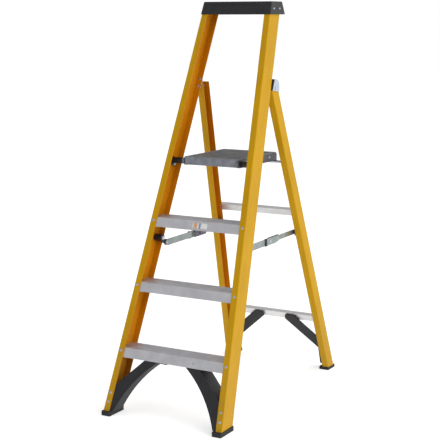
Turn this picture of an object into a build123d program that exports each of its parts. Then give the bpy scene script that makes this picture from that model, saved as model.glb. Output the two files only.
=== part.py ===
from build123d import *
from math import cos, sin, tan, radians, degrees, atan2, hypot
import os

# Platform step ladder. Millimetres, +Z up, -Y is the climbing side, X is across.
# The origin is on the floor, under the middle of the base.

# ---------------------------------------------------------------- overall sizes
overall_height = 1568.0
hinge_height = 1232.0
front_width = 524.0  # outside the front stiles, at the floor
front_top_width = 307.0  # outside the front stiles, under the cap
front_lean = 20.95  # degrees from upright
rear_lean = 17.95
rear_inset_floor = 8.0  # rear stiles stand inside the line of the front ones
rear_inset_hinge = 1.5

# ---------------------------------------------------------------- stiles
front_depth = 83.0
front_flange = 26.0
rear_depth = 51.0
rear_flange = 28.0
web_wall = 3.2
flange_wall = 3.5
stile_corner = 3.0
lip_corner = 1.2
sole_wall = 6.0

# ---------------------------------------------------------------- treads
tread_first = 249.0  # height of the lowest tread
tread_pitch = 243.0
tread_count = 3
tread_skirt = 38.0
tread_wall = 2.0
tread_plate = 4.0
groove_depth = 1.3
groove_width = 2.6
groove_pitch = 5.2
tread_border = 7.0
tread_rivet_drop = 12.5

# ---------------------------------------------------------------- cap
cap_height = 50.0
cap_wall = 3.0
cap_roof = 5.0
cap_side_gap = 1.0
cap_rear_overhang = 38.0
cap_rear_draft = 18.0  # the back of the cap leans in by this much at the top
cap_end_draft = 4.5
cap_corner = 5.0
cap_panel_half = 108.0
cap_panel_height = 26.0
cap_panel_recess = 1.0
cap_rib = 2.4
cap_rib_pitch = 40.0
cap_rib_count = 7
cap_rib_lift = 8.0
cap_tray_depth = 2.0
cap_tray_rim = 12.0
cap_tray_corner = 8.0
cap_rivet_depths = (20.0, 67.0)
cap_rivet_share = 0.45  # up the side of the cap
cap_rivet_shank = 2.0
cap_rivet_head = 4.2
cap_rivet_rise = 2.2

# ---------------------------------------------------------------- platform
platform_height = 968.0
platform_overrun = 12.0  # the deck ends this far behind the middle of the rest rod
platform_half = 122.0
platform_skirt = 31.0
platform_front_gap = 8.0  # nose of the deck behind the front of the stiles
deck_wall = 3.0
deck_plate = 5.0
deck_corner = 14.0
deck_edge = 3.0
deck_groove_pitch = 12.0
deck_groove_width = 5.0
deck_groove_depth = 2.0
deck_rib = 3.0
deck_rib_lift = 6.0
deck_rib_pitch = 60.0
side_rivet_shares = (0.2, 0.5, 0.8)  # along the deck
side_rivet_drop = 10.0
pivot_drop = 20.0  # tilt axis under the deck's top
side_plate = 3.0
side_plate_drop = 6.0
side_plate_height = 28.0
side_plate_rest = 32.2  # the shallow end rests this far under the deck's top
side_plate_tail = 46.0  # length of the shallow end, over the rest rod
side_hook = 5.0
side_hook_gap = 1.5
side_flange = 12.0
side_tab = 10.0
spacer_radius = 12.0
spacer_base = 5.0
spacer_base_span = (-14.0, 27.0)  # through the stile, from the pivot
spacer_base_rise = (-20.0, 14.0)  # along the stile, from the pivot
spacer_rivet_place = (17.5, -11.0)  # through and along the stile, from the pivot
spacer_rivet_head = 8.0
spacer_rivet_rise = 3.0
spacer_gap = 0.8
pivot_pin_radius = 6.0
pivot_head = (9.0, 3.0)  # radius and rise
rod_radius = 5.5
rod_gap = 0.3
rod_collar = (9.5, 8.0)  # radius and length

# ---------------------------------------------------------------- hinge
hinge_pad = 3.0
hinge_plate = 3.0
hinge_clearance = 2.5
hinge_span = (-19.0, 26.0)  # along the stile, from the pin
hinge_rivet_inset = 8.0
pad_lip = 2.5
pad_lip_depth = 5.0
ear_gap = 2.5
ear_top = 35.0  # over the pin
ear_bottom = 16.0  # under the pin
ear_dip = 8.0  # the lower edge falls this many degrees towards the back
ear_nose = 26.0
ear_heel = 4.0
ear_reach = 29.0
stile_above_hinge = 18.0
hinge_bolt_radius = 5.0
hinge_bolt_head = (7.5, 4.0)
hinge_nut_radius = 9.0
hinge_nut_length = 7.0
hinge_nut_gap = 1.2
hinge_washer_radius = 11.0
hinge_washer_gap = 0.9

# ---------------------------------------------------------------- side stays
stay_height_front = 627.0
stay_height_rear = 631.0
stay_back_front = 12.0  # front pin behind the front stile
stay_back_rear = 12.0  # rear pin behind the face of the rear stile
stay_plane = 172.5  # the two links of a stay meet side by side here
stay_gap = 0.3
link_thick = 4.0
front_link_half = 12.5
rear_link_half = 9.5
stay_pin_radius = 4.0
cover_wall = 3.0
front_cover_half = 13.5
rear_cover_half = 13.0
cover_length = 88.0
front_cover_back = 27.0
rear_cover_back = 0.0
collar_length = 10.0
bracket_thick = 5.5
bracket_arm_half = 8.0
bracket_boss = 14.0
bracket_boss_depth = 24.0  # its middle, in front of the back of the stile
stay_pin_head = (7.0, 3.0)
stay_pin_low_rise = 1.2
stay_bolt_head = (8.0, 5.0)
rear_block_rise = (-13.0, 15.0)  # along the stile, from the pin
rear_block = (4.0, 36.0)
rear_stay_bolt_place = (15.0, 3.0)  # behind and above the pin
rear_stay_bolt_head = (6.0, 3.0)

# ---------------------------------------------------------------- rear rails and feet
rail_heights = (235.0, 719.0)
rail_face = 26.0
rail_depth = 22.0
rail_wall = 2.5
rail_lap = 14.0  # each end laps over the stile's rear flange
shoe_toe = 5.0
front_shoe_heel = 6.0
rear_shoe_toe = 7.0
shoe_heel = 8.0
shoe_side = 1.5
front_shoe_inboard = 12.0
rear_shoe_inboard = 15.0
front_shoe_height = 17.0
rear_shoe_height = 12.0
shoe_corner = 4.0
sole_groove_depth = 3.0
sole_groove_width = 4.0
sole_groove_pitch = 9.0

# ---------------------------------------------------------------- foot braces
brace_wall = 4.0
front_brace_foot = 10.0  # inboard of the stile's flange
front_brace_depth = 72.0
front_brace_arch_depth = (58.0, 28.0)  # of the arched edge, at the floor and at the tread
front_brace_reach = 63.0  # inner end, from the middle of the ladder
front_brace_width = 60.0
front_brace_spread = 18.0  # the back of the brace is this much wider than its face
front_brace_meet = 100.0  # the outer edge meets the web this far up the stile
front_brace_bulge = 0.076
brace_rib_pitch = 38.0
brace_rib = 3.0
brace_tab_height = 20.0
brace_tab_wall = 5.0
front_brace_rivets = (50.0, 83.0)  # heights
rear_brace_foot = 31.0
rear_brace_depth = 6.0
rear_brace_reach = 53.0
rear_brace_width = 43.0
rear_brace_meet = 92.0
rear_brace_top = 4.0  # under the top of the lower rail
rear_brace_end = 20.0
rear_brace_knee = 80.0
rear_brace_boss = 6.0
rear_brace_rivets = (45.0, 85.0)  # along the stile
brace_corner = 5.0

# ---------------------------------------------------------------- fasteners
rivet_radius = 2.4
rivet_head = 5.5
rivet_rise = 1.8
rail_rivet = (1.8, 3.2, 1.2)  # shank, head and rise
hinge_rivet_rise = 1.2
fit_gap = 0.05
reach = overall_height * 1.5  # longer than the whole ladder, for cutting tools


class LeaningFrame:
    """A frame drawn upright (X across, Y through its depth, Z along its stiles), then leaned."""

    def __init__(self, floor_y, lean, floor_half, slope):
        self.floor_y = floor_y
        self.lean = radians(lean)
        self.place = Location((0, floor_y, 0), (-lean, 0, 0))
        self.floor_half = floor_half
        self.slope = slope

    def rise(self, height, depth=0.0):
        """Distance along the stile of a point at this height above the floor."""
        return (height + depth * sin(self.lean)) / cos(self.lean)

    def half(self, along):
        """Half of the outside width, this far along the stiles."""
        return self.floor_half - self.slope * along

    def world(self, depth, along):
        """Y and Z in the ladder's frame."""
        y = self.floor_y + along * sin(self.lean) + depth * cos(self.lean)
        return y, along * cos(self.lean) - depth * sin(self.lean)

    def local(self, y, z):
        """Depth and distance along the stile of a point in the ladder's frame."""
        dy = y - self.floor_y
        depth = dy * cos(self.lean) - z * sin(self.lean)
        return depth, dy * sin(self.lean) + z * cos(self.lean)


# ---------------------------------------------------------------- frame geometry
cap_seat = overall_height - cap_height
front_slope = (front_width - front_top_width) / 2 / (cap_seat / cos(radians(front_lean)))
hinge_fold_gap = hinge_pad + hinge_plate + hinge_clearance
hinge_depth = front_depth + hinge_fold_gap + rear_depth / 2
rear_foot = rear_depth / cos(radians(rear_lean))
feet_apart = hinge_height * (tan(radians(front_lean)) + tan(radians(rear_lean)))
feet_apart += hinge_depth / cos(radians(front_lean)) - rear_foot / 2
base_depth = shoe_toe + feet_apart + rear_foot + shoe_heel
front = LeaningFrame(-base_depth / 2 + shoe_toe, front_lean, front_width / 2, front_slope)

rear_floor_y = front.floor_y + feet_apart
hinge_z = hinge_height
hinge_along = front.rise(hinge_z, hinge_depth)
hinge_y = front.world(hinge_depth, hinge_along)[0]
rear_hinge_along = hypot(hinge_y - rear_floor_y, hinge_z)
rear_hinge_along = (rear_hinge_along**2 - (rear_depth / 2) ** 2) ** 0.5
rear_hinge_half = front.half(hinge_along) - rear_inset_hinge
rear_floor_half = front_width / 2 - rear_inset_floor
rear_slope = (rear_floor_half - rear_hinge_half) / rear_hinge_along
rear = LeaningFrame(rear_floor_y, -rear_lean, rear_floor_half, rear_slope)
fold_angle = front_lean + rear_lean

# ---------------------------------------------------------------- small makers
nodes = {}


def box(x, y, z):
    """Box between two corners, each axis given as (low, high)."""
    size = [high - low for low, high in (x, y, z)]
    middle = [(high + low) / 2 for low, high in (x, y, z)]
    return Pos(*middle) * Box(*size)


def below(height):
    return box((-reach, reach), (-reach, reach), (-reach, height))


def above(height):
    return box((-reach, reach), (-reach, reach), (height, reach * 2))


def rod_x(radius, low, high, depth, along):
    """Cylinder along X, at a depth and a distance along the stile."""
    turned = Rot(0, 90, 0) * Cylinder(radius, high - low)
    return Pos((low + high) / 2, depth, along) * turned


def rod_y(radius, low, high, across, along):
    turned = Rot(90, 0, 0) * Cylinder(radius, high - low)
    return Pos(across, (low + high) / 2, along) * turned


def plate_x(points, low, high):
    """Outline in (Y, Z), given thickness across X."""
    outline = Plane.YZ * make_face(Polyline(points, close=True))
    return Pos(low, 0, 0) * extrude(outline, amount=high - low)


def plate_y(outline, low, high):
    """Outline in (X, Z), given thickness through Y."""
    return Pos(0, high, 0) * extrude(Plane.XZ * outline, amount=high - low)


def head_y(across, along, face, out, radius=rivet_head, rise=rivet_rise):
    """Domed head on a face that looks along Y. out is -1 towards the front, 1 towards the back."""
    dome = fillet(Cylinder(radius, rise, align=(Align.CENTER, Align.CENTER, Align.MIN)).edges().sort_by(
        Axis.Z)[-1:], rise * 0.8)
    return Pos(across, face, along) * Rot(-90 * out, 0, 0) * dome


def head_x(face, depth, along, out, radius=rivet_head, rise=rivet_rise):
    """Domed head on a face that looks along X."""
    dome = fillet(Cylinder(radius, rise, align=(Align.CENTER, Align.CENTER, Align.MIN)).edges().sort_by(
        Axis.Z)[-1:], rise * 0.8)
    return Pos(face, depth, along) * Rot(0, 90 * out, 0) * dome


def rivet_y(across, along, low, high, radius=rivet_radius, head=rivet_head, rise=rivet_rise):
    """Rivet along Y with a head at each end of its grip."""
    shank = rod_y(radius, low, high, across, along)
    return shank + head_y(across, along, low, -1, head, rise) + head_y(across, along, high, 1, head, rise)


def mirrored(shape):
    return mirror(shape, about=Plane.YZ)


def group(shapes):
    return Compound(children=[solid for shape in shapes for solid in shape.solids()])


def add(name, shape):
    nodes[name] = shape


def add_pair(name, shape):
    """The shape is the right-hand one, at positive X."""
    nodes[name + "_right"] = shape
    nodes[name + "_left"] = mirrored(shape)


def add_group_pair(name, shapes):
    nodes[name] = group(shapes + [mirrored(shape) for shape in shapes])


# ---------------------------------------------------------------- stiles
def channel(frame, depth, flange, length):
    """Right-hand channel that opens inwards, drawn upright, tapering towards the top."""
    x = frame.floor_half
    points = [
        (x, 0),
        (x - flange, 0),
        (x - flange, flange_wall),
        (x - web_wall, flange_wall),
        (x - web_wall, depth - flange_wall),
        (x - flange, depth - flange_wall),
        (x - flange, depth),
        (x, depth),
    ]
    outline = make_face(Polyline(points, close=True))
    corners = outline.vertices().group_by(Axis.X)[-1]
    outline = fillet(corners, stile_corner)
    lips = [v for v in outline.vertices().group_by(Axis.X)[0] if v.Y in (0, depth)]
    outline = fillet(lips, lip_corner)
    climb = Vector(-frame.slope, 0, 1)
    start = Pos(frame.slope * reach / 10, 0, -reach / 10) * outline
    return extrude(start, amount=(length + reach / 10) * climb.length, dir=climb.normalized())


def between_webs(frame, depth, top, gap=0.0):
    """The space between the webs of a frame's two stiles."""
    wide = frame.half(0) - web_wall - gap
    narrow = frame.half(top) - web_wall - gap
    outline = make_face(Polyline([(-wide, 0), (wide, 0), (narrow, top), (-narrow, top)], close=True))
    return plate_y(outline, 0, depth)


front_stile = channel(front, front_depth, front_flange, reach)
rear_stile = channel(rear, rear_depth, rear_flange, reach)


# ---------------------------------------------------------------- treads
tread_near = flange_wall
tread_far = front_depth - flange_wall
tread_heights = [tread_first + tread_pitch * i for i in range(tread_count)]


def tread_top(height, depth):
    return front.rise(height, depth)


def tread_outline(height):
    """Section of a tread, level on top, with skirts that follow the stiles."""

    def top(depth, drop=0.0):
        return (depth, tread_top(height - drop, depth))

    points = [top(tread_near)]
    skirt = tread_skirt * cos(front.lean)
    first = tread_near + tread_border
    last = tread_far - tread_border
    count = int((last - first) / groove_pitch)
    start = (first + last) / 2 - (count - 1) * groove_pitch / 2
    for i in range(count):
        middle = start + i * groove_pitch
        left = middle - groove_width / 2
        right = middle + groove_width / 2
        points += [top(left), top(left, groove_depth), top(right, groove_depth), top(right)]
    inside_near = tread_near + tread_wall
    inside_far = tread_far - tread_wall
    points += [top(tread_far), top(tread_far, skirt), top(inside_far, skirt)]
    points += [top(inside_far, tread_plate), top(inside_near, tread_plate)]
    points += [top(inside_near, skirt), top(tread_near, skirt)]
    return points


tread_space = between_webs(front, front_depth, front.rise(platform_height))
treads = [
    plate_x(tread_outline(height), -front_width, front_width) & tread_space for height in tread_heights
]

tread_rivet_grip = flange_wall + tread_wall
tread_rivets = []
tread_rivet_holes = []
for height in tread_heights:
    for low, high in ((0, tread_rivet_grip), (front_depth - tread_rivet_grip, front_depth)):
        along = tread_top(height, (low + high) / 2) - tread_rivet_drop
        across = front.half(along) - front_flange / 2
        tread_rivets.append(rivet_y(across, along, low, high))
        tread_rivet_holes.append(rod_y(rivet_radius + fit_gap, low - 1, high + 1, across, along))

for hole in tread_rivet_holes:
    front_stile -= hole
    treads = [tread - hole - mirrored(hole) for tread in treads]

# ---------------------------------------------------------------- front foot braces
skirt_bottom = tread_first - tread_skirt * cos(front.lean)
brace_near = flange_wall
brace_far = brace_near + front_brace_depth
brace_top = front.rise(skirt_bottom)
brace_lift = brace_far * tan(front.lean)
arch_start = (front_brace_reach, brace_top)
arch_end = (front_width / 2 - front_flange - front_brace_foot, 0)
arch_run = arch_end[0] - arch_start[0]
arch_drop = arch_start[1] - arch_end[1]
arch_middle = (
    (arch_start[0] + arch_end[0]) / 2 + arch_drop * front_brace_bulge,
    (arch_start[1] + arch_end[1]) / 2 + arch_run * front_brace_bulge,
)
arch = ThreePointArc(arch_start, arch_middle, arch_end)


def front_brace_outline(spread):
    """Arched gusset, in across and along. Its top is drawn long and cut level under the tread."""
    meet = front_brace_meet + spread
    width = front_brace_width + spread
    web_foot = (front.half(0) - web_wall, 0)
    web_top = (front.half(meet) - web_wall, meet)
    outer_top = (front_brace_reach + width - brace_lift, brace_top + brace_lift)
    inner_top = (front_brace_reach - brace_lift, brace_top + brace_lift)
    return make_face([arch, Polyline(arch_end, web_foot, web_top, outer_top, inner_top, arch_start)])


def brace_block(amount, near, far):
    """The gusset's block between two depths, its outline shrunk by an amount. It widens to the back."""
    sections = []
    for depth in (near, far):
        spread = front_brace_spread * (depth - brace_near) / front_brace_depth
        outline = front_brace_outline(spread)
        if amount:
            outline = offset(outline, amount=-amount)
        sections.append(Pos(0, depth, 0) * (Plane.XZ * outline))
    return loft(sections, ruled=True)


front_brace = brace_block(0, brace_near, brace_far)
brace_hollow = brace_block(brace_wall, brace_near + brace_wall, brace_far + brace_wall)
front_brace -= brace_hollow
rib_far = front_brace_arch_depth[1]
rib_count = int((front_width / 2 - front_brace_reach) / brace_rib_pitch)
for i in range(1, rib_count):
    across = front_brace_reach + i * brace_rib_pitch
    rib = box((across - brace_rib / 2, across + brace_rib / 2), (0, rib_far), (0, reach))
    front_brace += rib & brace_hollow
under_arch = make_face([arch, Polyline(arch_end, (front_brace_reach, 0), arch_start)])
arch_zone = plate_y(offset(under_arch, amount=brace_wall + fit_gap), 0, front_depth)
arch_back = [
    (front_brace_arch_depth[0], 0),
    (front_brace_arch_depth[1], brace_top),
    (front_depth, brace_top),
    (front_depth, 0),
]
front_brace -= arch_zone & plate_x(arch_back, 0, front_width)
front_brace = (front.place * front_brace) & below(skirt_bottom) & above(front_shoe_height)

tab_across = (front_brace_reach + brace_wall, front_brace_reach + front_brace_width - brace_wall)
tab_near = tread_near + tread_wall
tab_foot = front.rise(skirt_bottom, tab_near + brace_tab_wall)
front_brace += front.place * box(
    tab_across, (tab_near, tab_near + brace_tab_wall), (tab_foot - brace_tab_wall, tab_foot + brace_tab_height)
)
front_brace -= front.place * box(
    tab_across, (tread_near, tab_near), (brace_top - 1, reach)
)

screw_across = sum(tab_across) / 2
screw_along = brace_top + tread_skirt / 2
brace_screw = front.place * rivet_y(screw_across, screw_along, tread_near, tab_near + brace_tab_wall)
screw_hole = front.place * rod_y(rivet_radius + fit_gap, 0, front_depth / 2, screw_across, screw_along)

brace_rivets = []
for height in front_brace_rivets:
    along = front.rise(height)
    across = front.half(along) - front_flange / 2
    brace_rivets.append(front.place * rivet_y(across, along, 0, flange_wall + brace_wall))
    hole = rod_y(rivet_radius + fit_gap, -1, flange_wall + brace_wall + 1, across, along)
    front_stile -= hole
    front_brace -= front.place * hole

front_brace -= screw_hole
treads = [front.place * tread for tread in treads]
treads[0] = treads[0] - screw_hole - mirrored(screw_hole)


# ---------------------------------------------------------------- shoes
def shoe(frame, flange, inboard, depth, toe, heel, height):
    """Rubber shoe round the foot of a right-hand stile, before the stile is cut out of it."""
    x = (frame.floor_half - flange - inboard, frame.floor_half + shoe_side)
    y = (frame.floor_y - toe, frame.floor_y + depth / cos(frame.lean) + heel)
    body = box(x, y, (0, height))
    body = fillet(body.edges().filter_by(Axis.Z), shoe_corner)
    count = int((y[1] - y[0]) / sole_groove_pitch)
    for i in range(1, count):
        middle = y[0] + i * sole_groove_pitch
        body -= box(x, (middle, middle + sole_groove_width), (-1, sole_groove_depth))
    return body


front_shoe = shoe(
    front, front_flange, front_shoe_inboard, front_depth, shoe_toe, front_shoe_heel, front_shoe_height
)
rear_shoe = shoe(rear, rear_flange, rear_shoe_inboard, rear_depth, rear_shoe_toe, shoe_heel, rear_shoe_height)

# ---------------------------------------------------------------- platform pivot
pivot_z = platform_height - pivot_drop
pivot_depth = front_depth / 2
pivot_along = front.rise(pivot_z, pivot_depth)
pivot_y = front.world(pivot_depth, pivot_along)[0]
spacer_end = platform_half + side_plate + spacer_gap
front_space = between_webs(front, front_depth, front.rise(overall_height))
spacer_web = front.half(pivot_along) - web_wall
spacer = rod_x(spacer_radius, spacer_end, front_width, pivot_depth, pivot_along)
spacer += box(
    (spacer_web - spacer_base, front_width),
    (pivot_depth + spacer_base_span[0], pivot_depth + spacer_base_span[1]),
    (pivot_along + spacer_base_rise[0], pivot_along + spacer_base_rise[1]),
)
spacer &= front_space
pin_tail = spacer_web - 2 * spacer_base
pin_head = platform_half - deck_wall
pivot_pin = rod_x(pivot_pin_radius, pin_head, pin_tail, pivot_depth, pivot_along)
spacer -= rod_x(pivot_pin_radius, 0, pin_tail, pivot_depth, pivot_along)
pivot_pin += head_x(pin_head - fit_gap, pivot_depth, pivot_along, -1, *pivot_head)
pin_bore = rod_x(pivot_pin_radius + fit_gap, 0, front_width, pivot_depth, pivot_along)

rivet_depth = pivot_depth + spacer_rivet_place[0]
rivet_along = pivot_along + spacer_rivet_place[1]
rivet_face = front.half(rivet_along) - web_wall - spacer_base
rivet_end = front.half(rivet_along) - stile_corner / 2
spacer_rivet = rod_x(rivet_radius, rivet_face, rivet_end, rivet_depth, rivet_along)
spacer_rivet += head_x(rivet_face, rivet_depth, rivet_along, -1, spacer_rivet_head, spacer_rivet_rise)
spacer_bore = rod_x(rivet_radius + fit_gap, 0, front_width, rivet_depth, rivet_along)
spacer_seat = rod_x(spacer_rivet_head + fit_gap, 0, rivet_face, rivet_depth, rivet_along)
spacer -= spacer_bore + spacer_seat
front_stile -= spacer_bore

# ---------------------------------------------------------------- side stays
front_pin_depth = front_depth + stay_back_front
front_pin_along = front.rise(stay_height_front, front_pin_depth)
rear_pin_along = rear.rise(stay_height_rear, stay_back_rear)
front_pin = Vector(0, *front.world(front_pin_depth, front_pin_along))
rear_pin = Vector(0, *rear.world(stay_back_rear, rear_pin_along))
hinge_point = Vector(0, hinge_y, hinge_z)
rear_pin_folded = hinge_point + (rear_pin - hinge_point).rotate(Axis.X, -fold_angle)
stay_span = (rear_pin - front_pin).length
stay_line = (rear_pin - front_pin).normalized()
folded_line = Vector(0, -sin(front.lean), -cos(front.lean))
pins_apart = front_pin - rear_pin_folded
front_link = (stay_span**2 - pins_apart.length**2) / (2 * (pins_apart.dot(folded_line) + stay_span))
rear_link = stay_span - front_link
knuckle = front_pin + stay_line * front_link
knuckle_folded = front_pin + folded_line * front_link


def swing(start, end):
    """Angle about X from one direction to another, in degrees."""
    turn = atan2(end.Z, end.Y) - atan2(start.Z, start.Y)
    return (degrees(turn) + 180) % 360 - 180


front_link_swing = swing(stay_line, folded_line)
rear_link_swing = swing(stay_line * -1, knuckle_folded - rear_pin_folded) + fold_angle
stay_tilt = degrees(atan2(stay_line.Z, stay_line.Y))
outer_plane = stay_plane + stay_gap / 2
inner_plane = stay_plane - stay_gap / 2
outer_face = outer_plane + link_thick
inner_face = inner_plane - link_thick


def along_stay(start, end, half, low, high):
    """Bar along the stay, between two distances from the knuckle. low and high are in X."""
    bar = box((low, high), (start, end), (-half, half))
    return Pos(0, knuckle.Y, knuckle.Z) * Rot(stay_tilt, 0, 0) * bar


def link(start, end, half, low, high):
    """Bar with round ends about two distances from the knuckle."""
    bar = along_stay(start, end, half, low, high)
    for place in (start, end):
        centre = knuckle + stay_line * place
        bar += rod_x(half, low, high, centre.Y, centre.Z)
    return bar


front_bar = link(-front_link, 0, front_link_half, outer_plane, outer_face)
front_bar -= rod_x(stay_pin_radius + fit_gap, 0, front_width, front_pin.Y, front_pin.Z)
rear_bar = link(0, rear_link, rear_link_half, inner_face, inner_plane)
rear_bar -= rod_x(stay_pin_radius + fit_gap, 0, front_width, rear_pin.Y, rear_pin.Z)

front_cover_span = (-front_cover_back, cover_length - front_cover_back)
front_cover = along_stay(*front_cover_span, front_cover_half, outer_plane, outer_face + cover_wall)
front_cover -= along_stay(*front_cover_span, front_link_half, 0, outer_face)
rear_cover_span = (-rear_cover_back, cover_length - rear_cover_back)
rear_cover = along_stay(*rear_cover_span, rear_cover_half, inner_face - cover_wall, inner_plane)
rear_cover -= along_stay(*rear_cover_span, rear_link_half, inner_face, front_width)
collar_span = (-front_cover_back - collar_length, -front_cover_back)
collar = along_stay(*collar_span, front_cover_half + 1, outer_plane, outer_face + cover_wall + 1)
collar -= along_stay(*collar_span, front_link_half, 0, outer_face)

knuckle_bore = rod_x(stay_pin_radius, 0, front_width, knuckle.Y, knuckle.Z)
front_knuckle_pin = rod_x(stay_pin_radius, outer_plane, outer_face + cover_wall, knuckle.Y, knuckle.Z)
front_knuckle_pin += head_x(outer_face + cover_wall, knuckle.Y, knuckle.Z, 1, *stay_pin_head)
rear_rivet_at = knuckle + stay_line * (cover_length / 2)
rear_knuckle_pin = rod_x(stay_pin_radius, inner_face - cover_wall, inner_plane, rear_rivet_at.Y, rear_rivet_at.Z)
rear_knuckle_pin += head_x(inner_face - cover_wall, rear_rivet_at.Y, rear_rivet_at.Z, -1, *stay_pin_head)
rear_rivet_bore = rod_x(stay_pin_radius, 0, front_width, rear_rivet_at.Y, rear_rivet_at.Z)
front_bar -= knuckle_bore
front_cover -= knuckle_bore
rear_bar -= rear_rivet_bore
rear_cover -= rear_rivet_bore

# brackets that carry the stay pins, each in its own leaning frame
arm_near = outer_face + stay_gap
arm_far = arm_near + bracket_thick
boss_depth = front_depth - bracket_boss_depth
boss_along = front_pin_along + bracket_boss - bracket_arm_half / 2
front_bracket = rod_x(front_link_half, arm_near, arm_far, front_pin_depth, front_pin_along)
front_bracket += box(
    (arm_near, arm_far),
    (boss_depth, front_pin_depth),
    (front_pin_along - bracket_arm_half, front_pin_along + bracket_arm_half),
)
front_bracket += rod_x(bracket_boss, arm_near, front_width, boss_depth, boss_along)
front_bracket &= between_webs(front, front_pin_depth + front_flange, front.rise(overall_height))
front_stay_bolt = rod_x(stay_pin_radius, arm_near, front_width, boss_depth, boss_along)
front_stay_bolt &= front_space
front_bracket -= front_stay_bolt
front_stay_bolt += head_x(arm_near, boss_depth, boss_along, -1, *stay_bolt_head)
front_stay_pin = rod_x(stay_pin_radius, outer_plane, arm_far, front_pin_depth, front_pin_along)
front_bracket -= front_stay_pin
front_stay_pin += head_x(
    arm_far, front_pin_depth, front_pin_along, 1, stay_pin_head[0], stay_pin_low_rise
)

rear_bracket = box(
    (arm_near, front_width),
    rear_block,
    (rear_pin_along + rear_block_rise[0], rear_pin_along + rear_block_rise[1]),
)
rear_bracket &= between_webs(rear, rear_depth, rear_hinge_along)
rear_stay_pin = rod_x(stay_pin_radius, inner_face, arm_far + stay_pin_radius, stay_back_rear, rear_pin_along)
rear_bracket -= rear_stay_pin
rear_stay_pin += head_x(inner_face - stay_gap, stay_back_rear, rear_pin_along, -1, *stay_pin_head)
rear_stay_spacer = rod_x(stay_pin_head[0], inner_plane + stay_gap, arm_near, stay_back_rear, rear_pin_along)
rear_stay_spacer -= rod_x(stay_pin_radius, 0, front_width, stay_back_rear, rear_pin_along)
rear_bolt_depth = stay_back_rear + rear_stay_bolt_place[0]
rear_bolt_along = rear_pin_along + rear_stay_bolt_place[1]
rear_stay_bolt = rod_x(stay_pin_radius, arm_near, front_width, rear_bolt_depth, rear_bolt_along)
rear_stay_bolt &= between_webs(rear, rear_depth, rear_hinge_along)
rear_bracket -= rear_stay_bolt
rear_stay_bolt += head_x(arm_near, rear_bolt_depth, rear_bolt_along, -1, *rear_stay_bolt_head)

# ---------------------------------------------------------------- hinge
web_at_hinge = rear.half(rear_hinge_along)
ear_x = (web_at_hinge + ear_gap, web_at_hinge + ear_gap + hinge_plate)
flange_at_hinge = front.half(hinge_along) - front_flange
pad_y = (front_depth, front_depth + hinge_pad)
plate_y_span = (pad_y[1], pad_y[1] + hinge_plate)
hinge_rise = (hinge_along + hinge_span[0], hinge_along + hinge_span[1])
hinge_pad_body = box((flange_at_hinge + pad_lip, ear_x[1]), pad_y, hinge_rise)
hinge_pad_body += box((ear_x[1], ear_x[1] + pad_lip), (front_depth, front_depth + pad_lip_depth), hinge_rise)
ear_root = hinge_depth  # drawn this far forward, then cut off at the pad
ear_fall = (ear_reach + ear_root) * tan(radians(ear_dip))
ear_outline = make_face(
    Polyline(
        (hinge_y - ear_root, hinge_z - ear_bottom + ear_fall),
        (hinge_y + ear_reach, hinge_z - ear_bottom),
        (hinge_y + ear_reach, hinge_z + ear_top),
        (hinge_y - ear_root, hinge_z + ear_top),
        close=True,
    )
)
ear_outline = fillet(ear_outline.vertices().group_by(Axis.X)[-1].sort_by(Axis.Y)[:1], ear_heel)
ear_outline = fillet(ear_outline.vertices().group_by(Axis.Y)[-1].sort_by(Axis.X)[-1:], ear_nose)
hinge_bracket = Pos(ear_x[0], 0, 0) * extrude(Plane.YZ * ear_outline, amount=hinge_plate)
hinge_bracket &= front.place * box((0, front_width), (pad_y[1], reach), (0, reach))
hinge_bracket += front.place * box((flange_at_hinge + pad_lip, ear_x[1]), plate_y_span, hinge_rise)
hinge_bore = rod_x(hinge_bolt_radius, 0, front_width, hinge_depth, hinge_along)
hinge_bracket -= front.place * hinge_bore

nut_face = web_at_hinge - web_wall - hinge_nut_gap
nut_start = nut_face - hinge_nut_length
hinge_bolt = rod_x(hinge_bolt_radius, nut_start - hinge_bolt_radius / 2, ear_x[1], hinge_depth, hinge_along)
hinge_bolt += head_x(ear_x[1], hinge_depth, hinge_along, 1, *hinge_bolt_head)
hinge_nut = Rot(0, 90, 0) * extrude(RegularPolygon(hinge_nut_radius, 6), amount=hinge_nut_length)
hinge_nut = Pos(nut_start, hinge_depth, hinge_along) * hinge_nut
hinge_nut -= hinge_bore
hinge_washer = rod_x(
    hinge_washer_radius, web_at_hinge + hinge_washer_gap, ear_x[0], hinge_depth, hinge_along
)
hinge_washer -= hinge_bore

hinge_rivets = []
for along in (hinge_rise[0] + hinge_rivet_inset, hinge_rise[1] - hinge_rivet_inset):
    across = front.half(along) - front_flange / 2
    low = front_depth - flange_wall
    hinge_rivets.append(rivet_y(across, along, low, plate_y_span[1], rise=hinge_rivet_rise))
    hole = rod_y(rivet_radius + fit_gap, low - 1, plate_y_span[1] + 1, across, along)
    front_stile -= hole
    hinge_pad_body -= hole
    hinge_bracket -= front.place * hole

# ---------------------------------------------------------------- rear rails and rest rod
rear_stile -= rod_x(hinge_bolt_radius + fit_gap, 0, front_width, rear_depth / 2, rear_hinge_along)
rails = []
rail_rivets = []
for height in rail_heights:
    top = rear.rise(height, rear_depth)
    end = rear.half(top) - rear_flange + rail_lap
    rail = box((-end, end), (rear_depth, rear_depth + rail_depth), (top - rail_face, top))
    rail -= box(
        (-front_width, front_width),
        (rear_depth + rail_wall, reach),
        (top - rail_face + rail_wall, top - rail_wall),
    )
    across = end - rail_lap / 2
    for along in (top - rail_face * 0.3, top - rail_face * 0.7):
        low = rear_depth - flange_wall
        high = rear_depth + rail_wall
        rail_rivets.append(rivet_y(across, along, low, high, *rail_rivet))
        hole = rod_y(rail_rivet[0] + fit_gap, low - 1, high + 1, across, along)
        rail = rail - hole - mirrored(hole)
        rear_stile -= hole
    rails.append(rear.place * rail)

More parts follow.
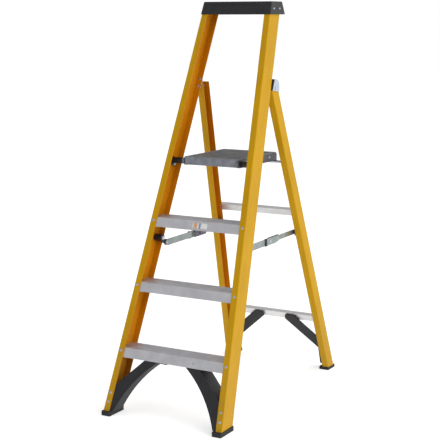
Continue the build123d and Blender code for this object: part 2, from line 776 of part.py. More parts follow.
rod_z = platform_height - side_plate_rest - rod_gap - rod_radius
rod_along = rear.rise(rod_z, rear_depth / 2)
rod_y_place = rear.world(rear_depth / 2, rod_along)[0]
rear_space = between_webs(rear, rear_depth, rear_hinge_along)
rest_rod = rod_x(rod_radius, -front_width, front_width, rear_depth / 2, rod_along) & rear_space
rod_web = rear.half(rod_along) - web_wall
collar_body = rod_x(rod_collar[0], rod_web - rod_collar[1], front_width, rear_depth / 2, rod_along)
collar_body &= rear_space
collar_body -= rod_x(rod_radius, 0, front_width, rear_depth / 2, rod_along)

# ---------------------------------------------------------------- rear foot braces
rear_brace_far = rear_depth - flange_wall
rear_brace_near = rear_brace_far - rear_brace_depth
lower_rail_top = rear.rise(rail_heights[0], rear_depth)
rear_top = lower_rail_top - rear_brace_top
rear_toe_x = rear.half(0) - rear_flange - rear_brace_foot


def rear_brace_outline():
    """Straight gusset with an upright foot, in across and along."""
    web_top = (rear.half(rear_brace_meet) - web_wall, rear_brace_meet)
    points = [
        (rear_brace_reach, rear_top),
        (rear_brace_reach, rear_top - rear_brace_end),
        (rear_toe_x, rear_brace_knee),
        (rear_toe_x, 0),
        (rear.half(0) - web_wall, 0),
        web_top,
        (rear_brace_reach + rear_brace_width, rear_top),
    ]
    return make_face(Polyline(points, close=True))


rear_face = rear_brace_outline()
rear_face = fillet(rear_face.vertices().sort_by(Axis.X)[:2].sort_by(Axis.Y)[-1:], brace_corner)
rear_brace = plate_y(rear_face, rear_brace_near, rear_brace_far)
rear_boss = (
    (rear_brace_reach + brace_corner, rear_brace_reach + rear_brace_width - rear_brace_boss),
    (rear_brace_far, rear_depth),
    (rear_top - rear_brace_end + rear_brace_boss / 2, rear_top),
)
rear_brace += box(*rear_boss)
rear_brace = (rear.place * rear_brace) & above(rear_shoe_height)

boss_rivet_across = sum(rear_boss[0]) / 2
boss_rivet_along = rear_top - rear_brace_end / 2
boss_rivet_place = (boss_rivet_across, boss_rivet_along)
rail_back = rear_depth + rail_wall
boss_rivet = rod_y(rivet_radius, rear_brace_far, rail_back, *boss_rivet_place)
boss_rivet += head_y(*boss_rivet_place, rail_back, 1)
rear_brace_fixings = [rear.place * boss_rivet]
rear_brace_holes = [rod_y(rivet_radius + fit_gap, rear_brace_far, rail_back + 1, *boss_rivet_place)]
for along in rear_brace_rivets:
    across = rear.half(along) - rear_flange / 2
    rear_brace_fixings.append(rear.place * rivet_y(across, along, rear_brace_near, rear_depth))
    rear_brace_holes.append(rod_y(rivet_radius + fit_gap, rear_brace_near - 1, rear_depth + 1, across, along))
for hole in rear_brace_holes:
    rear_brace -= rear.place * hole
    rear_stile -= hole
    rails[0] = rails[0] - rear.place * hole - mirrored(rear.place * hole)

# ---------------------------------------------------------------- stiles, cut to length and placed
front_stile = (front.place * front_stile) & above(sole_wall) & below(overall_height - cap_roof)
rear_stile = (rear.place * rear_stile) & above(sole_wall) & below(hinge_z + stile_above_hinge)
rear_stile -= front.place * box(
    (0, front_width), (-reach, front_depth + hinge_fold_gap), (-reach, reach)
)
front_shoe = front_shoe - front_stile
rear_shoe = rear_shoe - rear_stile

# ---------------------------------------------------------------- cap
cap_half = front.half(front.rise(cap_seat)) + cap_side_gap + cap_wall


def cap_shape(shrink, roof):
    """Block that leans with the stiles in front, and leans in behind and at its ends."""
    top = overall_height - roof

    def face(height, depth):
        return front.world(depth, front.rise(height, depth))[0]

    near = shrink - cap_wall
    far = face(cap_seat, front_depth) + cap_rear_overhang - shrink
    side = [
        (face(cap_seat, near), cap_seat),
        (far, cap_seat),
        (far - cap_rear_draft * (top - cap_seat) / cap_height, top),
        (face(top, near), top),
    ]
    half = cap_half - shrink
    end = half - cap_end_draft * (top - cap_seat) / cap_height
    width = make_face(Polyline([(-half, cap_seat), (half, cap_seat), (end, top), (-end, top)], close=True))
    return plate_x(side, -half, half) & plate_y(width, -reach, reach)


cap = cap_shape(0, 0)
cap = fillet(cap.edges().filter_by(lambda e: e.center().Z > cap_seat + 1), cap_corner)
cap -= cap_shape(cap_wall, cap_roof)
for i in range(cap_rib_count):
    middle = (i - (cap_rib_count - 1) / 2) * cap_rib_pitch
    rib_span = (middle - cap_rib / 2, middle + cap_rib / 2)
    rib = box(rib_span, (-reach, reach), (cap_seat + cap_rib_lift, overall_height))
    cap += rib & cap_shape(cap_wall, cap_roof)
tray_span = cap_shape(cap_tray_rim, 0).faces().sort_by(Axis.Z)[-1].bounding_box()
tray = box(
    (tray_span.min.X, tray_span.max.X),
    (tray_span.min.Y, tray_span.max.Y),
    (overall_height - cap_tray_depth, overall_height + 1),
)
cap -= fillet(tray.edges().filter_by(Axis.Z), cap_tray_corner)
cap -= front.place * box(
    (-cap_panel_half, cap_panel_half),
    (-front_depth, -cap_wall + cap_panel_recess),
    (
        front.rise(cap_seat + cap_height / 2) - cap_panel_height / 2,
        front.rise(cap_seat + cap_height / 2) + cap_panel_height / 2,
    ),
)
cap = cap - front_stile - mirrored(front_stile)

cap_rivets = []
cap_rivet_z = cap_seat + cap_height * cap_rivet_share
for depth in cap_rivet_depths:
    along = front.rise(cap_rivet_z, depth)
    web = front.half(along) - web_wall
    y, z = front.world(depth, along)
    shank = rod_x(cap_rivet_shank, web, cap_half, y, z)
    hole = rod_x(cap_rivet_shank, 0, front_width, y, z)
    surface = cap_half - cap_end_draft * (z - cap_seat) / cap_height
    head = head_x(surface - cap_rivet_rise / 4, y, z, 1, cap_rivet_head, cap_rivet_rise)
    rivet = (shank & box((0, surface), (-reach, reach), (0, reach))) + head
    cap_rivets.append(rivet - (cap - hole))
    front_stile -= hole
    cap = cap - hole - mirrored(hole)

# ---------------------------------------------------------------- platform
deck_front = front.floor_y + platform_height * tan(front.lean) + platform_front_gap
deck_rear = rod_y_place + platform_overrun
deck_low = platform_height - platform_skirt
deck_rib_rise = (deck_low + deck_rib_lift, platform_height)
deck_middle = (deck_front + deck_rear) / 2
deck_long = deck_rear - deck_front
deck_outline = Rectangle(platform_half * 2, deck_long)
deck_outline = fillet(deck_outline.vertices().group_by(Axis.Y)[0], deck_corner)
deck_inside = offset(deck_outline, amount=-deck_wall)
deck = Pos(0, deck_middle, deck_low) * extrude(deck_outline, amount=platform_skirt)
deck = fillet(deck.edges().group_by(Axis.Z)[-1], deck_edge)
deck_hollow = Pos(0, deck_middle, deck_low) * extrude(deck_inside, amount=platform_skirt - deck_plate)
deck -= deck_hollow
for x in (-deck_rib_pitch, 0.0, deck_rib_pitch):
    rib = box((x - deck_rib / 2, x + deck_rib / 2), (deck_front, deck_rear), deck_rib_rise)
    deck += rib & deck_hollow
for share in (1 / 3, 2 / 3):
    y = deck_front + deck_long * share
    rib = box((-platform_half, platform_half), (y - deck_rib / 2, y + deck_rib / 2), deck_rib_rise)
    deck += rib & deck_hollow
groove_count = int((deck_long - 2 * deck_corner) / deck_groove_pitch)
for i in range(groove_count):
    y = deck_middle + (i - (groove_count - 1) / 2) * deck_groove_pitch
    deck -= box(
        (-platform_half + deck_corner, platform_half - deck_corner),
        (y - deck_groove_width / 2, y + deck_groove_width / 2),
        (platform_height - deck_groove_depth, platform_height + 1),
    )

side_top = platform_height - side_plate_drop
side_low = side_top - side_plate_height
rest_z = platform_height - side_plate_rest
hook_y = rod_y_place + rod_radius + side_hook_gap
side_rear = hook_y + side_hook
side_step = side_rear - side_plate_tail
side_front = deck_front + deck_corner
side_points = [
    (side_front, side_top),
    (side_rear, side_top),
    (side_rear, rod_z - 2),
    (hook_y, rod_z - 2),
    (hook_y, rest_z),
    (side_step, rest_z),
    (side_step, side_low),
    (side_front, side_low),
]
side_x = (platform_half, platform_half + side_plate)
platform_side = plate_x(side_points, *side_x)
platform_side += box(
    (platform_half - side_flange, side_x[1]), (side_front, side_step), (side_low, side_low + side_plate)
)
platform_side += box((side_x[0], side_x[1]), (deck_front - side_plate, side_front), (side_low + 6, side_top))
platform_side += box(
    (side_x[1] - side_tab, side_x[1]),
    (deck_front - side_plate, deck_front),
    (side_low + 6, side_top),
)
deck_bore = front.place * pin_bore
deck = deck - deck_bore - mirrored(deck_bore)
platform_side -= deck_bore

platform_rivets = []
for share in side_rivet_shares:
    y = deck_front + deck_long * share
    z = side_top - side_rivet_drop
    shank = rod_x(rivet_radius, platform_half - deck_wall, side_x[1], y, z)
    platform_rivets.append(
        shank + head_x(side_x[1], y, z, 1) + head_x(platform_half - deck_wall, y, z, -1)
    )
    hole = rod_x(rivet_radius + fit_gap, 0, front_width, y, z)
    deck = deck - hole - mirrored(hole)
    platform_side -= hole

# ---------------------------------------------------------------- the pieces, by name
leaning_rivets = tread_rivets + hinge_rivets + [spacer_rivet]
front_rivets = brace_rivets + [brace_screw] + [front.place * rivet for rivet in leaning_rivets]
rear_rivets = rear_brace_fixings + [rear.place * rivet for rivet in rail_rivets]
add_pair("front_stile", front_stile)
for name, tread in zip(("lower", "middle", "upper"), treads):
    add("tread_" + name, tread)
add("top_cap", cap)
add_group_pair("cap_rivets", cap_rivets)
add_group_pair("front_frame_rivets", front_rivets)
add_pair("front_brace", front_brace)
add_pair("front_shoe", front_shoe)
add_pair("hinge_pad", front.place * hinge_pad_body)
add_pair("hinge_bracket", hinge_bracket)
add_group_pair("hinge_bolts", [front.place * hinge_bolt])
add_group_pair("hinge_nuts", [front.place * hinge_nut])
add_group_pair("hinge_washers", [front.place * hinge_washer])
add_pair("platform_spacer", front.place * spacer)
add_group_pair("platform_pivot_pins", [front.place * pivot_pin])
add_pair("front_stay_bracket", front.place * front_bracket)
add_group_pair("front_stay_bolts", [front.place * front_stay_bolt])
add_group_pair("front_stay_pins", [front.place * front_stay_pin])

add_pair("rear_stile", rear_stile)
add("rear_rail_lower", rails[0])
add("rear_rail_upper", rails[1])
add("rest_rod", rear.place * rest_rod)
add_group_pair("rest_rod_collars", [rear.place * collar_body])
add_pair("rear_brace", rear_brace)
add_group_pair("rear_frame_rivets", rear_rivets)
add_pair("rear_shoe", rear_shoe)
add_pair("rear_stay_bracket", rear.place * rear_bracket)
add_group_pair("rear_stay_bolts", [rear.place * rear_stay_bolt])
add_group_pair("rear_stay_pins", [rear.place * rear_stay_pin])
add_group_pair("rear_stay_spacers", [rear.place * rear_stay_spacer])

add("platform_deck", deck)
add_pair("platform_side", platform_side)
add_group_pair("platform_rivets", platform_rivets)

add_pair("stay_front_link", front_bar)
add_pair("stay_front_cover", front_cover)
add_pair("stay_collar", collar)
add_pair("stay_front_pin", front_knuckle_pin)
add_pair("stay_rear_link", rear_bar)
add_pair("stay_rear_cover", rear_cover)
add_pair("stay_rear_pin", rear_knuckle_pin)

os.makedirs("parts", exist_ok=True)
for name, shape in nodes.items():
    export_step(shape, "parts/" + name + ".step")

print("hinge", round(hinge_y, 3), round(hinge_z, 3), "fold", round(fold_angle, 3))
print("platform pivot", round(pivot_y, 3), round(pivot_z, 3), "tilt", round(90 - front_lean, 3))
print("front stay pin", round(front_pin.Y, 3), round(front_pin.Z, 3), "swing", round(front_link_swing, 3))
print("rear stay pin", round(rear_pin.Y, 3), round(rear_pin.Z, 3), "swing", round(rear_link_swing, 3))
print("knuckle", round(knuckle.Y, 3), round(knuckle.Z, 3), "links", round(front_link, 2), round(rear_link, 2))
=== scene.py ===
import math

import bpy
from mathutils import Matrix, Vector


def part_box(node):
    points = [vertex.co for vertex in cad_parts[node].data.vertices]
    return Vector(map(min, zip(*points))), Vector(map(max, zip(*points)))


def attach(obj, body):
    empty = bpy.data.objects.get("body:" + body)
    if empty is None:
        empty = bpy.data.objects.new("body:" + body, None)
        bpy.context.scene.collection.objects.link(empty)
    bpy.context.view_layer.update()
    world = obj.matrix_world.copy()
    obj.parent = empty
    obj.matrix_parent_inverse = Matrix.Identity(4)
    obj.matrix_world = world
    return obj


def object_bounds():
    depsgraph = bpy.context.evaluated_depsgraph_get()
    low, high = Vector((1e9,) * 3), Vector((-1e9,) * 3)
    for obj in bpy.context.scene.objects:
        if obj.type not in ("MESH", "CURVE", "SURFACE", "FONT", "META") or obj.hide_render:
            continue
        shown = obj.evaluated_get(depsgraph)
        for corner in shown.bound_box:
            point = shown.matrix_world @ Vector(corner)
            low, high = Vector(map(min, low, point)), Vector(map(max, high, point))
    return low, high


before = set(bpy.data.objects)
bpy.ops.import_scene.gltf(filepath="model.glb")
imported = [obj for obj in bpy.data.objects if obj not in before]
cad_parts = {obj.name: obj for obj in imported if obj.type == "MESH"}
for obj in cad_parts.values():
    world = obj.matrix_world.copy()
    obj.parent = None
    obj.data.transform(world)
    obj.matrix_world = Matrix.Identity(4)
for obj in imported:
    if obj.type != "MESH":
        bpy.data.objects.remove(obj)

# Platform step ladder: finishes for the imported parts, and the small printed and moulded pieces on them.
# Metres. +Z up, the climbing side faces -Y, X runs across the treads.

cad_low, cad_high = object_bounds()
MM = 0.001
FRONT_LEAN = 20.95  # degrees that the front stiles lean back from upright
REAR_LEAN = -17.95  # and the rear stiles, the other way


# ---------------------------------------------------------------- colours, nodes and patterns
def linear(hex_colour):
    """An sRGB hex colour as linear RGBA."""
    channels = [int(hex_colour[i : i + 2], 16) / 255 for i in (1, 3, 5)]
    return (*[c / 12.92 if c <= 0.04045 else ((c + 0.055) / 1.055) ** 2.4 for c in channels], 1.0)


def node(tree, kind, inputs=(), output=0, **settings):
    """Adds a node and returns one output. Its inputs are values or outputs to link, in order or by name."""
    made = tree.nodes.new(kind)
    for name, value in settings.items():
        setattr(made, name, value)
    for name, value in (inputs if isinstance(inputs, dict) else dict(enumerate(inputs))).items():
        if isinstance(value, bpy.types.NodeSocket):
            tree.links.new(value, made.inputs[name])
        else:
            made.inputs[name].default_value = value
    return made.outputs[output]


def new_material(name):
    """A material and its empty tree."""
    material = bpy.data.materials.new(name)
    material.use_nodes = True
    material.node_tree.nodes.clear()
    return material, material.node_tree


def covered(material, inputs):
    """Ends a material's tree in one shader with these inputs."""
    tree = material.node_tree
    end = tree.nodes.new("ShaderNodeOutputMaterial")
    tree.links.new(node(tree, "ShaderNodeBsdfPrincipled", inputs), end.inputs["Surface"])
    return material


def lying_along(tree, kind, lean):
    """The place on the object, or the way a face looks, turned so that a leaning stile stands upright."""
    vector = node(tree, "ShaderNodeTexCoord", output=kind)
    return node(tree, "ShaderNodeMapping", {"Vector": vector, "Rotation": (math.radians(lean), 0, 0)})


def patches(tree, size, detail, roughness, lean=0.0, stretch=(1, 1, 1)):
    """A pattern from 0 to 1 in patches so many millimetres across. A stretch under 1 draws them out."""
    place = lying_along(tree, "Object", lean)
    place = node(tree, "ShaderNodeVectorMath", (place, stretch), operation="MULTIPLY")
    inputs = {"Vector": place, "Scale": 1 / (size * MM), "Detail": detail, "Roughness": roughness}
    return node(tree, "ShaderNodeTexNoise", inputs, "Fac")


def mottled(tree, pattern, first, second, low=0.35, high=0.65, most=1.0):
    """The first colour, going over to the second as the pattern goes from low to high."""
    share = node(tree, "ShaderNodeMapRange", (pattern, low, high, 0, most))
    return node(tree, "ShaderNodeMix", {0: share, 6: first, 7: second}, 2, data_type="RGBA")


# ---------------------------------------------------------------- materials
def pultruded_fibreglass(name, stile, lean):
    """Pigmented polyester and glass pulled through a hot die: satin and faintly streaked along its length.
    Painted shade makes its faces inside the channel deeper and more orange, and dust lies on it for a hand's
    height above the floor."""
    material, tree = new_material(name)
    streaks = patches(tree, 5.0, 4.0, 0.6, lean, (1, 1, 0.04))
    clouds = patches(tree, 60.0, 3.0, 0.55, lean, (1, 1, 0.3))
    fibre = patches(tree, 1.6, 2.0, 0.6, lean, (1, 1, 0.12))  # real rovings are finer and would not show
    scuffs = patches(tree, 7.0, 5.0, 0.7, lean, (1, 1, 0.5))
    outside = mottled(tree, clouds, linear("#BE8F04"), linear("#B58802"))
    outside = mottled(tree, streaks, outside, linear("#C69C16"), 0.45, 0.75, 0.5)
    # painted shade: the channel's inner faces get this deeper, more orange colour in place of the shade
    # inside the channel
    inside = mottled(tree, clouds, linear("#C67C02"), linear("#B97000"))
    # a face looks outwards if it looks away from the middle of the channel's depth; faces that look inwards
    # get the painted shade
    place = lying_along(tree, "Object", lean)
    middle = (0, channel_middle(stile, lean), 0)
    away = node(tree, "ShaderNodeVectorMath", (place, middle), operation="SUBTRACT")
    away = node(tree, "ShaderNodeVectorMath", (away, (1, 5, 0)), operation="MULTIPLY")
    looks = lying_along(tree, "Normal", lean)
    outward = node(tree, "ShaderNodeVectorMath", (looks, away), "Value", operation="DOT_PRODUCT")
    pigment_and_channel_shade = mottled(tree, outward, inside, outside, -0.03, 0.03)
    height = node(tree, "ShaderNodeSeparateXYZ", (place,), "Z")
    near_floor = node(tree, "ShaderNodeMapRange", (height, 0.02, 0.22, 0.35, 0))
    scuffed = node(tree, "ShaderNodeMapRange", (scuffs, 0.45, 0.7, 0, 1))
    dust = node(tree, "ShaderNodeMath", (near_floor, scuffed), operation="MULTIPLY")
    # dust near the floor goes over the colour that carries the painted channel shade
    dust_and_channel_shade = node(tree, "ShaderNodeMix", {0: dust, 6: pigment_and_channel_shade, 7: linear("#8C7A54")}, 2, data_type="RGBA")
    return covered(material, {
        "Base Color": dust_and_channel_shade,
        "Roughness": node(tree, "ShaderNodeMapRange", (streaks, 0.3, 0.7, 0.4, 0.54)),
        "Specular IOR Level": 0.12,
        "Normal": node(tree, "ShaderNodeBump", {"Height": fibre, "Strength": 0.08, "Distance": 0.3 * MM}),
    })


def channel_middle(stile, lean):
    """Middle of a stile's depth, measured square to it from the line through the origin."""
    low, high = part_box(stile)
    slope = math.radians(lean)
    return ((low.y + high.y) * math.cos(slope) - (low.z + high.z) * math.sin(slope)) / 2


def extruded_aluminium(name, colour, dark, rough=0.42):
    """Mill-finish aluminium straight from the die: soft grey with fine lines along its length."""
    material, tree = new_material(name)
    lines = patches(tree, 1.2, 3.0, 0.6, stretch=(0.02, 1, 1))  # die lines, drawn coarser so that they show
    clouds = patches(tree, 45.0, 3.0, 0.5)
    return covered(material, {
        "Base Color": mottled(tree, clouds, linear(colour), linear(dark)),
        "Metallic": 0.75,
        "Roughness": node(tree, "ShaderNodeMapRange", (lines, 0.3, 0.7, rough - 0.06, rough + 0.08)),
        "Normal": node(tree, "ShaderNodeBump", {"Height": lines, "Strength": 0.12, "Distance": 0.2 * MM}),
    })


def moulded_plastic(name, colour, dark, rough=0.5, grain=1.2, trodden=None):
    """Injection-moulded thermoplastic with a spark-eroded grain, so its shine is broken up. A trodden
    colour is the dirt walked into its top."""
    material, tree = new_material(name)
    sparks = patches(tree, grain, 2.0, 0.6)  # drawn coarser than the real grain, so that it shows
    base = mottled(tree, patches(tree, 35.0, 3.0, 0.5), linear(colour), linear(dark))
    if trodden:
        looks_up = node(tree, "ShaderNodeSeparateXYZ", (lying_along(tree, "Normal", 0),), "Z")
        on_top = node(tree, "ShaderNodeMapRange", (looks_up, 0.6, 0.9, 0, 1))
        walked = node(tree, "ShaderNodeMapRange", (patches(tree, 28.0, 5.0, 0.7), 0.44, 0.6, 0, 0.6))
        dirt = node(tree, "ShaderNodeMath", (on_top, walked), operation="MULTIPLY")
        base = node(tree, "ShaderNodeMix", {0: dirt, 6: base, 7: linear(trodden)}, 2, data_type="RGBA")
    return covered(material, {
        "Base Color": base,
        "Roughness": node(tree, "ShaderNodeMapRange", (sparks, 0.3, 0.7, rough - 0.05, rough + 0.08)),
        "IOR": 1.49,
        "Normal": node(tree, "ShaderNodeBump", {"Height": sparks, "Strength": 0.25, "Distance": 0.15 * MM}),
    })


def zinc_plate(name, colour, dark, rough=0.3):
    """Bright zinc on steel: bluish and slightly cloudy."""
    material, tree = new_material(name)
    clouds = patches(tree, 9.0, 3.0, 0.5)
    return covered(material, {
        "Base Color": mottled(tree, clouds, linear(colour), linear(dark)),
        "Metallic": 0.85,
        "Roughness": node(tree, "ShaderNodeMapRange", (clouds, 0.3, 0.7, rough - 0.05, rough + 0.1)),
    })


def printed_label(name, middle, wide):
    """Vinyl label: pale and rubbed, with a plain block of faded orange and one of blue, and no writing."""
    material, tree = new_material(name)
    across = node(tree, "ShaderNodeSeparateXYZ", (lying_along(tree, "Object", 0),), "X")
    grime = patches(tree, 6.0, 4.0, 0.6)
    base = mottled(tree, grime, linear("#D9DBD6"), linear("#BFC2BC"), 0.4, 0.7, 0.6)
    blocks = ((middle - 0.3 * wide, 0.13 * wide, "#C98A55"), (middle, 0.07 * wide, "#5B64A0"))
    for centre, half, ink in blocks:
        offset = node(tree, "ShaderNodeMath", (across, centre), operation="SUBTRACT")
        offset = node(tree, "ShaderNodeMath", (offset,), operation="ABSOLUTE")
        printed = node(tree, "ShaderNodeMapRange", (offset, half - 0.5 * MM, half, 0.8, 0))
        base = node(tree, "ShaderNodeMix", {0: printed, 6: base, 7: linear(ink)}, 2, data_type="RGBA")
    roughness = node(tree, "ShaderNodeMapRange", (grime, 0.3, 0.7, 0.35, 0.55))
    return covered(material, {"Base Color": base, "Roughness": roughness})


FIBREGLASS = "Fibreglass pultruded, "
front_fibreglass = pultruded_fibreglass(FIBREGLASS + "front stiles", "front_stile_right", FRONT_LEAN)
rear_fibreglass = pultruded_fibreglass(FIBREGLASS + "rear stiles", "rear_stile_right", REAR_LEAN)
tread_aluminium = extruded_aluminium("Aluminium extruded, mill finish, treads", "#CFCFD3", "#C3C3C8")
rail_aluminium = extruded_aluminium("Aluminium extruded, mill finish, rails", "#E2E2E2", "#D6D6D8")
stay_aluminium = extruded_aluminium("Aluminium strip, mill finish, stays", "#98A29F", "#868F8E", 0.36)
side_aluminium = extruded_aluminium("Aluminium coated grey, platform sides", "#6E7278", "#5E6268", 0.5)
dark_anodised = extruded_aluminium("Aluminium anodised dark, stay sleeves", "#6A6472", "#58525F", 0.4)
black_plastic = moulded_plastic("Polypropylene moulded black", "#191A1E", "#121317", 0.48)
grey_plastic = moulded_plastic("Nylon moulded grey, platform", "#7C8088", "#676B74", 0.52, trodden="#98937F")
foot_rubber = moulded_plastic("Rubber moulded black, feet", "#1B1B1C", "#141414", 0.7, 2.0)
zinc_steel = zinc_plate("Steel zinc plated", "#C3C9D2", "#AEB6C2")
bracket_steel = zinc_plate("Steel pressed, zinc plated, hinge", "#C2CAD8", "#B4BDCC", 0.38)


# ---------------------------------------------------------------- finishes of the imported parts
def finish(material, *names):
    for name in names:
        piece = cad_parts[name]
        piece.data.materials.clear()
        piece.data.materials.append(material)


def pair(*names):
    return [name + side for name in names for side in ("_left", "_right")]


finish(front_fibreglass, *pair("front_stile"))
finish(rear_fibreglass, *pair("rear_stile"))
finish(tread_aluminium, "tread_lower", "tread_middle", "tread_upper")
finish(rail_aluminium, "rear_rail_lower", "rear_rail_upper")
finish(side_aluminium, *pair("platform_side"))
finish(stay_aluminium, *pair("stay_front_link", "stay_rear_link", "stay_front_cover"))
finish(dark_anodised, *pair("stay_rear_cover", "stay_rear_pin"))
finish(black_plastic, "top_cap", "rest_rod_collars", "hinge_washers", "rear_stay_spacers")
finish(black_plastic, *pair("front_brace", "rear_brace", "platform_spacer"))
finish(black_plastic, *pair("front_stay_bracket", "rear_stay_bracket", "stay_collar", "hinge_pad"))
finish(grey_plastic, "platform_deck")
finish(foot_rubber, *pair("front_shoe", "rear_shoe"))
finish(bracket_steel, *pair("hinge_bracket"))
finish(zinc_steel, "hinge_bolts", "hinge_nuts", "rest_rod", "platform_pivot_pins", "platform_rivets")
finish(zinc_steel, "front_stay_bolts", "front_stay_pins", "rear_stay_bolts", "rear_stay_pins")
finish(zinc_steel, "cap_rivets", "front_frame_rivets", "rear_frame_rivets")
finish(zinc_steel, *pair("stay_front_pin"))


# ---------------------------------------------------------------- making small pieces
def start(primitive, **sizes):
    """A primitive at the origin, in edit mode with everything selected."""
    bpy.ops.object.select_all(action="DESELECT")
    primitive(location=(0, 0, 0), **sizes)
    bpy.ops.object.mode_set(mode="EDIT")
    bpy.ops.mesh.select_mode(type="FACE")
    bpy.ops.mesh.select_all(action="SELECT")
    return bpy.context.object


def select_top(piece):
    """Selects only the faces that look up."""
    bpy.ops.object.mode_set(mode="OBJECT")
    for polygon in piece.data.polygons:
        polygon.select = polygon.normal.z > 0.9
    bpy.ops.object.mode_set(mode="EDIT")


def close(piece, name):
    """Leaves edit mode with doubles merged, normals outwards and edges up to 35 degrees smooth."""
    bpy.ops.mesh.select_all(action="SELECT")
    bpy.ops.mesh.remove_doubles(threshold=0.01 * MM)
    bpy.ops.mesh.normals_make_consistent(inside=False)
    bpy.ops.object.mode_set(mode="OBJECT")
    bpy.ops.object.shade_smooth_by_angle(angle=math.radians(35))
    piece.name = name


def settle(piece, place, turn=(0, 0, 0)):
    """Puts a piece in its place, with the place in its mesh."""
    bpy.ops.object.select_all(action="DESELECT")
    piece.select_set(True)
    bpy.context.view_layer.objects.active = piece
    piece.location = place
    piece.rotation_euler = turn
    bpy.ops.object.transform_apply(location=True, rotation=True, scale=True)


def again(piece, name):
    """A copy with its own mesh."""
    made = piece.copy()
    made.data = piece.data.copy()
    made.name = name
    bpy.context.scene.collection.objects.link(made)
    return made


def dress(piece, material, body):
    """Gives a new piece its finish and the body it rides on."""
    piece.data.materials.clear()
    piece.data.materials.append(material)
    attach(piece, body)


# ---------------------------------------------------------------- a blank label on the upper tread
LABEL_WIDE = 64 * MM
LABEL_HIGH = 21 * MM
LABEL_CORNER = 2.5 * MM
LABEL_THICK = 0.3 * MM
LABEL_EDGE = 0.3 * MM
LABEL_CROWN = 0.1 * MM
LABEL_ACROSS = 12 * MM  # to the right of the middle

lean = math.radians(FRONT_LEAN)
tread_low, tread_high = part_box("tread_upper")
half_tread = (tread_high.z - tread_low.z) / 2
label_at = Vector((LABEL_ACROSS, tread_low.y + half_tread * math.tan(lean), tread_low.z + half_tread))
label = start(bpy.ops.mesh.primitive_plane_add, size=1)
bpy.ops.transform.resize(value=(LABEL_WIDE, LABEL_HIGH, 1))
bpy.ops.mesh.bevel(offset=LABEL_CORNER, segments=5, affect="VERTICES")
bpy.ops.mesh.select_all(action="SELECT")
bpy.ops.mesh.extrude_region_move(TRANSFORM_OT_translate={"value": (0, 0, LABEL_THICK)})
select_top(label)
bpy.ops.mesh.inset(thickness=LABEL_EDGE)
bpy.ops.transform.translate(value=(0, 0, LABEL_CROWN))
close(label, "tread_label")
settle(label, label_at, (math.radians(90) - lean, 0, 0))
label_vinyl = printed_label("Vinyl label, blank", LABEL_ACROSS, LABEL_WIDE)
dress(label, label_vinyl, "front_frame")

# ---------------------------------------------------------------- screws in each front brace's arch
SCREW_RADIUS = 4.2 * MM
SCREW_HEAD = 2.4 * MM
SCREW_EDGE = 0.9 * MM
SCREW_DOME = 0.7 * MM
SOCKET_EDGE = 1.1 * MM
SOCKET_DEPTH = 1.6 * MM
SOCKET_TAPER = 0.8
SCREW_PLACES = ((217.5 * MM, 35 * MM), (207 * MM, 65 * MM))  # out from the middle, and up the arch
SCREW_DEPTH = 22 * MM  # behind the front edge
SCREW_TURN = 115  # degrees from upright, towards the middle
SHOE_LIP = 5 * MM

arch_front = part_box("front_shoe_right")[0].y + SHOE_LIP
screw = start(bpy.ops.mesh.primitive_cylinder_add, vertices=24, radius=SCREW_RADIUS, depth=SCREW_HEAD)
select_top(screw)
bpy.ops.mesh.inset(thickness=SCREW_EDGE)
bpy.ops.transform.translate(value=(0, 0, SCREW_DOME))
bpy.ops.mesh.inset(thickness=SOCKET_EDGE)
bpy.ops.mesh.extrude_region_move(TRANSFORM_OT_translate={"value": (0, 0, -SOCKET_DEPTH)})
bpy.ops.transform.resize(value=(SOCKET_TAPER, SOCKET_TAPER, 1))
close(screw, "brace_screw")
for name, side in (("right", 1), ("left", -1)):
    for number, (across, up) in enumerate(SCREW_PLACES, start=1):
        y = arch_front + up * math.sin(lean) + SCREW_DEPTH * math.cos(lean)
        z = up * math.cos(lean) - SCREW_DEPTH * math.sin(lean)
        made = again(screw, f"brace_screw_{name}_{number}")
        settle(made, (side * across, y, z), (0, math.radians(-side * SCREW_TURN), 0))
        dress(made, zinc_steel, "front_frame")
bpy.data.objects.remove(screw)

# ---------------------------------------------------------------- low studs on the ridges of the platform
STUD_ROWS = 24
STUDS_IN_ROW = 14
STUD_PITCH = 15 * MM
RIDGE_PITCH = 12 * MM
STUD_RADIUS = 2.2 * MM
STUD_HEIGHT = 1.4 * MM  # half of it is sunk in the ridge
STUD_EDGE = 0.7 * MM
STUD_CROWN = 0.35 * MM

deck_low, deck_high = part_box("platform_deck")
studs = start(bpy.ops.mesh.primitive_cylinder_add, vertices=12, radius=STUD_RADIUS, depth=STUD_HEIGHT)
select_top(studs)
bpy.ops.mesh.inset(thickness=STUD_EDGE)
bpy.ops.transform.translate(value=(0, 0, STUD_CROWN))
close(studs, "platform_studs")
for count, step in ((STUDS_IN_ROW, (STUD_PITCH, 0, 0)), (STUD_ROWS, (0, RIDGE_PITCH, 0))):
    array = studs.modifiers.new("row", "ARRAY")
    array.count = count
    array.use_relative_offset = False
    array.use_constant_offset = True
    array.constant_offset_displace = step
    bpy.ops.object.modifier_apply(modifier=array.name)
row_half = (STUDS_IN_ROW - 1) * STUD_PITCH / 2
rows_half = (STUD_ROWS - 1) * RIDGE_PITCH / 2
settle(studs, (-row_half, (deck_low.y + deck_high.y) / 2 - rows_half, deck_high.z))
dress(studs, grey_plastic, "platform")


# ---------------------------------------------------------------- floor, light and camera
FLOOR_SIZE = 60
FLOOR_DROP = 0.5 * MM
FLOOR_GLOW = 0.45
ROOM_BASE = 0.36
ROOM_GLOWS = (  # towards, and how much brighter it is there
    ((0.97, 0.24, 0), 1.0),
    ((-0.35, -0.94, 0), 0.1),
    ((0, 0, 1), 0.2),
)
KEY_PLACE = (3.6, -0.9, 1.8)
KEY_SIZE = 1.6
KEY_POWER = 30
CAMERA_PLACE = (2.2532, -4.0631, 1.4890)
CAMERA_DOWN = 9.577  # degrees below level
CAMERA_ROUND = 29.343  # degrees round from the front, to the right
CAMERA_LENS = 96.12


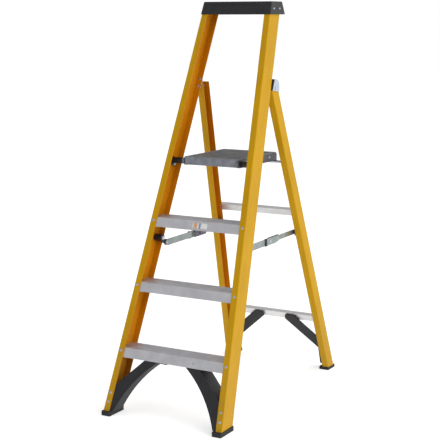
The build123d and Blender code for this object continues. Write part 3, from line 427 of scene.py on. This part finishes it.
def studio_floor():
    bpy.ops.object.select_all(action="DESELECT")
    bpy.ops.mesh.primitive_plane_add(size=FLOOR_SIZE, location=(0, 0, -FLOOR_DROP))
    floor = bpy.context.object
    floor.name = "studio_floor"
    material, tree = new_material("Studio floor, painted white")
    floor.data.materials.append(covered(material, {
        "Base Color": linear("#F4F4F4"),
        "Roughness": 0.9,
        "Emission Color": (1, 1, 1, 1),
        "Emission Strength": FLOOR_GLOW,
    }))


def studio_world():
    """A white room, brightest on the ladder's right. What the camera sees of it is plain white."""
    world = bpy.data.worlds.new("studio")
    bpy.context.scene.world = world
    world.use_nodes = True
    tree = world.node_tree
    tree.nodes.clear()
    direction = node(tree, "ShaderNodeTexCoord", output="Generated")
    level = ROOM_BASE
    for towards, strength in ROOM_GLOWS:
        facing = node(tree, "ShaderNodeVectorMath", (direction, towards), "Value", operation="DOT_PRODUCT")
        glow = node(tree, "ShaderNodeMapRange", (facing, -0.1, 1.0, 0.0, strength))
        level = node(tree, "ShaderNodeMath", (glow, level), operation="ADD")
    seen = node(tree, "ShaderNodeLightPath", output="Is Camera Ray")
    strength = node(tree, "ShaderNodeMath", (seen, level), operation="MAXIMUM")
    background = node(tree, "ShaderNodeBackground", {"Color": (1, 1, 1, 1), "Strength": strength})
    end = tree.nodes.new("ShaderNodeOutputWorld")
    tree.links.new(background, end.inputs["Surface"])


def key_light(target):
    data = bpy.data.lights.new("key", "AREA")
    data.shape = "SQUARE"
    data.size = KEY_SIZE
    data.energy = KEY_POWER
    light = bpy.data.objects.new("key", data)
    bpy.context.scene.collection.objects.link(light)
    light.location = KEY_PLACE
    light.rotation_euler = (Vector(target) - light.location).to_track_quat("-Z", "Y").to_euler()


def camera():
    data = bpy.data.cameras.new("camera")
    data.sensor_width = 36
    data.lens = CAMERA_LENS
    made = bpy.data.objects.new("camera", data)
    bpy.context.scene.collection.objects.link(made)
    made.location = CAMERA_PLACE
    made.rotation_euler = (math.radians(90 - CAMERA_DOWN), 0, math.radians(CAMERA_ROUND))
    bpy.context.scene.camera = made


studio_floor()
studio_world()
key_light((cad_low + cad_high) / 2)
camera()
bpy.context.scene.view_settings.view_transform = "Standard"
